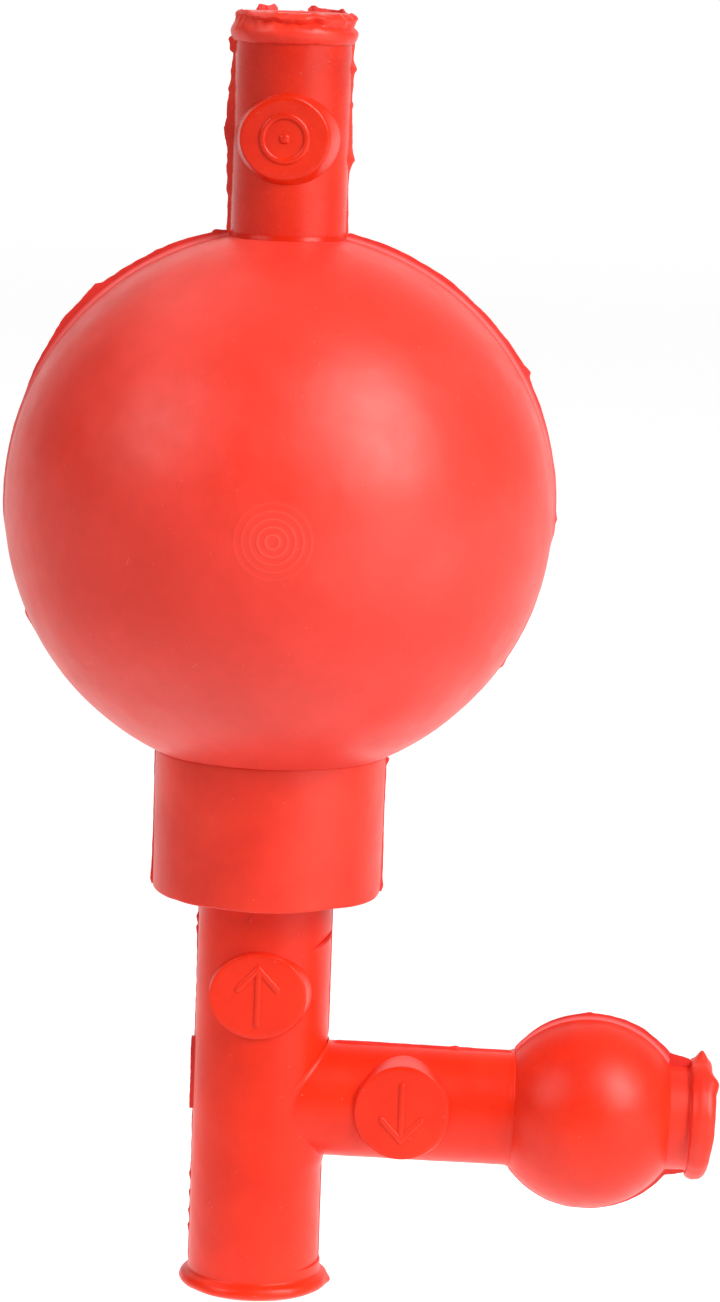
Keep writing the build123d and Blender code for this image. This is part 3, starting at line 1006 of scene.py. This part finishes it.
def arrow_mark(disc, way):
    """Arrow up for the valve that draws in, or down for the valve that empties."""
    x, y = disc.face[0]
    tip = (x, y + way * MARK_SIZE)
    barb_up = y + way * MARK_SIZE * 0.25
    starts = [(x, y - way * MARK_SIZE)] + [(x + side * MARK_SIZE * 0.7, barb_up) for side in (-1, 1)]
    return [stroke(disc, line(start, tip, MARK_WIDTH), MARK_WIDTH) for start in starts]


def discs():
    """Three discs with marks in front, and three plain ones behind."""
    rows = [
        (Disc(air, (-0.3, 0.0), (-0.62, 0.08), (0.9, 0.45)), 0, shaded_air_tube_red),
        (Disc(siphon, (-0.2, 0.0), (-0.45, 0.1), (0.35, 0.15)), 1, red),
        (Disc(arm, (-0.05, 0.25), (-0.1, 0.45), (0.2, 0.4)), -1, red),
    ]
    for disc, way, material in rows:
        for side, facing in FACINGS.items():
            pinch_disc(disc, side, facing, material)
        strokes = arrow_mark(disc, way) if way else ring_mark(disc)
        valve = disc.tube.valve
        rider(f"{valve}_front_pad", f"{valve}_mark", merged(strokes), material, sharp=70)


# ---- parting flash


def nib(here, place, height, width, lean=1):
    """Height of a small torn point, steep on its far side, or on its near side where lean is -1."""
    across = (here - place) * lean / width
    return height * max(0.0, 1 + across if across < 0 else 1 - 3 * across)


def fin(name, path, stops, seed, nibs=(), rough=0.12, material=flash_red, body="tee"):
    """Thin web of rubber that leaked into the mould's parting plane, along (point, outward) steps.

    The stops of its height in mm and its nibs go by how far along it they are, from 0 to 1.
    """
    foot, tip = 0.3 * MM, 0.09 * MM
    height = through(stops)
    last = len(path) - 1
    rings = []
    for i, (point, outward) in enumerate(path):
        t = i / last
        ends = smoothstep(0, 3, min(i, last - i))
        ragged = 1 + rough * wobble(point, 1.1, seed) + 1.3 * rough * wobble(point, 5, seed + 1)
        rise = height(t) * ragged + sum(nib(t, *numbers) for numbers in nibs)
        top = point + outward * max(rise, 0.02) * MM * (0.2 + 0.8 * ends)
        lean = BACK * 0.1 * MM * wobble(point, 3, seed + 2)
        mid = (point + top) / 2 + lean / 2
        side = [(point - outward * 0.4 * MM, foot), (mid, (foot + tip) / 2), (top + lean, tip)]
        rings.append([p - BACK * half for p, half in side] + [p + BACK * half for p, half in reversed(side)])
    rider(body, name, swept(rings), material, sharp=50)


def round_path(centre, radius, first, last):
    """Steps along an arc on the parting plane, in degrees clockwise from the top."""
    angles = [radians(degrees) for degrees in steps(first, last, math.degrees(0.28 * MM / radius))]
    outwards = [Vector((sin(angle), 0, cos(angle))) for angle in angles]
    return [(centre + outward * radius, outward) for outward in outwards]


def side_path(tube, way, first, last, radius=None):
    """Steps along a tube's parting line, on its side where way is 1 and opposite where it is -1."""
    radius = radius or tube.radius
    outward = tube.side * way
    return [(tube.spot(along, way * radius, 0), outward) for along in steps(first, last, 0.25 * MM)]


# Height in mm of the flash down each side of the large bulb, by degrees from its top
BULB_FLASH = {
    "left": {
        11: 0.75, 25: 0.95, 40: 1.05, 50: 1.25, 60: 0.75, 70: 0.3, 93: 0.28, 98: 0.16, 113: 0.12,
        116: 0.35, 130: 0.12, 142: 0.0,
    },
    "right": {
        11: 0.8, 28: 0.87, 59: 0.9, 63: 0.65, 80: 0.45, 93: 0.36, 97: 0.1, 115: 0.25, 130: 0.25, 142: 0.0,
    },
}
BULB_NIBS = {
    "left": [(15, 0.3, 2, 1), (41.5, 0.4, 5, -1), (115, 0.15, 3, -1)],
    "right": [(60, 0.35, 2, 1), (91, 0.2, 2, 1), (124, 0.2, 2, 1)],
}

# Height in mm of the flash up each side of the air tube, from its foot to its bead
AIR_FLASH = {
    "left": {
        0: 0.35, 0.19: 0.35, 0.23: 0.6, 0.41: 0.8, 0.53: 1.05, 0.59: 0.9, 0.72: 0.58, 0.84: 0.42,
        0.9: 0.2, 0.92: 0.6, 1: 0.7,
    },
    "right": {
        0: 0.25, 0.11: 0.15, 0.25: 0.06, 0.32: 0.1, 0.41: 0.62, 0.47: 0.35, 0.53: 0.3, 0.7: 0.15,
        0.78: 0.25, 0.83: 0.4, 0.88: 0.15, 1: 0.3,
    },
}
AIR_NIBS = {
    "left": [(0.53, 0.2, 0.03, 1), (0.72, 0.15, 0.03, -1), (0.99, 0.3, 0.03, 1)],
    "right": [(0.39, 0.15, 0.03, -1), (0.67, 0.2, 0.03, 1), (0.84, 0.3, 0.05, -1)],
}
COLLAR_FLASH = {0: 0.3, 0.12: 0.12, 0.5: 0.06, 1: 0.1}


def bulb_and_air_flash(name, way):
    """Flash down one side of the large bulb, its air tube and its collar."""
    air_half = math.degrees(math.asin(air.radius / bulb_r))
    collar_half = 180 - math.degrees(math.asin(collar_r / bulb_r))
    first, last = air_half - 1, collar_half + 0.5
    span = last - first
    stops = {(degrees - first) / span: h for degrees, h in BULB_FLASH[name].items()}
    torn = [((at - first) / span, h, w / span, lean) for at, h, w, lean in BULB_NIBS[name]]
    path = round_path(bulb_centre, bulb_r, way * first, way * last)
    fin(f"bulb_flash_{name}", path, stops, 31 + way, torn, 0.07, bulb_flash_red, "bulb")

    path = side_path(air, way, air_foot, air_top - AIR_BEAD_HEIGHT * 0.75)
    fin(f"air_flash_{name}", path, AIR_FLASH[name], 35 + way, AIR_NIBS[name], 0.2, satin_red, "bulb")

    path = side_path(siphon, way, collar_bottom + 0.2 * MM, collar_head - 0.1 * MM, collar_r)
    torn = [(0.97, 0.4, 0.05)] if way > 0 else []
    fin(f"collar_flash_{name}", path, COLLAR_FLASH, 39 + way, torn, 0.3, body="bulb")


def tee_flash():
    """Flash along the siphon tube and the side arm."""
    thin = {0: 0.1, 1: 0.1}
    arm_low = arm_root.z - arm.radius - 0.9 * MM
    arm_high = arm_root.z + arm.radius + 0.7 * MM
    top = collar_bottom - 0.3 * MM
    nibs = [(t, 0.18, 0.02) for t in (0.1, 0.14, 0.19, 0.24, 0.9, 0.93, 0.97)]
    fin("siphon_flash_left", side_path(siphon, -1, 2.6 * MM, top), thin, 43, nibs, 0.5)
    low_path = side_path(siphon, 1, 2.6 * MM, arm_low, siphon.radius - 0.3 * MM)
    fin("siphon_flash_low", low_path, thin, 45)
    fin("siphon_flash_high", side_path(siphon, 1, arm_high, top), thin, 47)
    root = siphon.radius + 0.5 * MM
    stops = {0: 0.25, 0.5: 0.22, 1: 0.15}
    fin("arm_flash_top", side_path(arm, -1, root, arm_head), stops, 49, [(0.68, 0.15, 0.04)])
    fin("arm_flash_bottom", side_path(arm, 1, root, arm_head), {0: 0.08, 1: 0.2}, 51)


def side_bulb_flash():
    """Flash round the blow-out bulb, and webs from it to its flange."""
    droop = math.degrees(math.atan2(-arm_axis.z, arm_axis.x))
    arm_half = math.degrees(math.asin(arm.radius / side_r))
    neck_half = math.degrees(math.asin(NECK_R / side_r))
    path = round_path(side_centre, side_r, -90 + droop + arm_half - 1, 90 + droop - neck_half + 1)
    stops = {0: 0.35, 0.3: 0.6, 0.5: 0.7, 0.8: 0.75, 1: 0.9}
    fin("side_bulb_flash_top", path, stops, 53, [(0.47, 0.15, 0.05)], 0.06, side_flash_red)
    path = round_path(side_centre, side_r, 90 + droop + neck_half - 1, 270 + droop - arm_half + 1)
    stops = {0: 0.75, 0.25: 0.6, 0.6: 0.45, 1: 0.3}
    fin("side_bulb_flash_bottom", path, stops, 55, (), 0.06, side_flash_red)
    neck = neck_foot - 0.9 * MM, outlet_along - FLANGE_LENGTH + 0.6 * MM, NECK_R
    fin("neck_web_top", side_path(arm, -1, *neck), {0: 1.7, 1: 0.95}, 57, (), 0.06)
    fin("neck_web_bottom", side_path(arm, 1, *neck), {0: 1.1, 1: 0.6}, 59, (), 0.06)


def tube_scraps():
    """A torn flake on the right of the siphon tube, and a hair under the collar."""
    flake, hair = [], []
    for t in steps(0, 1, 0.1):
        flake_angle, hair_angle = radians(-44 + 40 * t), radians(-104 + 7 * t * t)
        flake.append(siphon.at((42.1 + 1.5 * t) * MM, siphon.radius + 0.05 * MM, flake_angle))
        hair.append(siphon.at((45.4 + 1.5 * t) * MM, siphon.radius - 0.02 * MM, hair_angle))
    rider("tee", "siphon_scraps", merged([thread(flake, 0.3 * MM), thread(hair, 0.09 * MM)]), flash_red)


def parting_tab():
    """Square-ended tab of flash on the siphon tube, opposite the side arm."""
    inner = -siphon.radius + 0.6 * MM
    rings = []
    for along in steps(21.4 * MM, 30.1 * MM, 0.25 * MM):
        edge = -siphon.radius - 0.45 * MM + 0.06 * MM * wobble((0, 0, along), 1, 61)
        ring = ((inner, -0.4), (edge, -0.3), (edge, 0.3), (inner, 0.4))
        rings.append([Vector((x, y * MM, along)) for x, y in ring])
    rider("tee", "parting_tab", swept(rings), flash_red)


# ---- build the object

bulbs()
tubes()
air_mouth()
torn_rim()
siphon_mouth()
collar()
nozzle()
arm_root_fillet()
discs()
bulb_and_air_flash("right", 1)
bulb_and_air_flash("left", -1)
tee_flash()
side_bulb_flash()
parting_tab()
tube_scraps()

ball_steel = steel()
for tube in (air, siphon, arm):
    for ball_slot in frame["nodes"][f"{tube.valve}_ball"].material_slots:
        ball_slot.material = ball_steel

# ---- camera, lights and floor

CAMERA_DISTANCE = 547 * MM
CAMERA_ELEVATION = 9.12
CAMERA_ROLL = 2.06
LENS = 129.6
SURROUND_DARK = 0.03
SURROUND_BRIGHT = 0.24
SURROUND_LIT_SIDE = (0.7, 0.7, 0.1)
BACKDROP_BRIGHT = 0.8
AIM_OFFSET = Vector((-0.96, 0, 1.64)) * MM


def aimed(item, place, target, roll=0.0):
    """Places a camera or a light and turns it to its target."""
    item.location = place
    item.rotation_mode = "QUATERNION"
    look = (target - item.location).to_track_quat("-Z", "Y")
    item.rotation_quaternion = look @ Quaternion((0, 0, 1), radians(roll))


def camera():
    """Long lens in front of the object and a little above it, slightly rolled."""
    low, high = cad_bounds
    aim = (low + high) / 2 + AIM_OFFSET
    aim.y = 0
    data = bpy.data.cameras.new("camera")
    data.lens = LENS
    data.clip_start = 0.01
    data.clip_end = 50
    seen = placed("camera", data)
    aimed(seen, aim + towards(0, CAMERA_ELEVATION) * CAMERA_DISTANCE, aim, CAMERA_ROLL)
    bpy.context.scene.camera = seen


def softbox(name, azimuth, elevation, distance, width, height, power):
    """Soft rectangular light aimed at the bulb."""
    data = bpy.data.lights.new(name, "AREA")
    data.shape = "RECTANGLE"
    data.size = width
    data.size_y = height
    data.energy = power
    aimed(placed(name, data), bulb_centre + towards(azimuth, elevation) * distance, bulb_centre)


def surround():
    """White backdrop in a surround that is dim to the right and dark to the left."""
    world = bpy.data.worlds.new("studio")
    nodes = Nodes(world, "Background", "Generated")
    sideways = nodes.vector("DOT_PRODUCT", nodes.place, SURROUND_LIT_SIDE)
    dim = nodes.eased(sideways, -0.8, 0.5, SURROUND_DARK, SURROUND_BRIGHT)
    behind = nodes.vector("DOT_PRODUCT", nodes.place, BACK)
    behind = nodes.eased(behind, 0.55, 0.95, 0, BACKDROP_BRIGHT)
    nodes.shade(Strength=nodes.math("ADD", dim, behind), Color=(1, 1, 1, 1))
    bpy.context.scene.world = world


def floor():
    """Round of studio paper just under the object."""
    mesh = primitive("floor", bmesh.ops.create_circle, segments=128, radius=60.0)
    mesh.materials.append(floor_paper())
    ground = placed("floor", mesh)
    ground.location = (0, 0, -0.2 * MM)


camera()
softbox("key", 50, 36, 1.2, 0.6, 0.9, 16.4)
softbox("fill", -57, 33, 1.4, 0.75, 0.75, 7.4)
softbox("rim", -120, 62, 1.3, 0.8, 0.8, 2.2)
surround()
floor()
bpy.context.scene.view_settings.view_transform = "Standard"
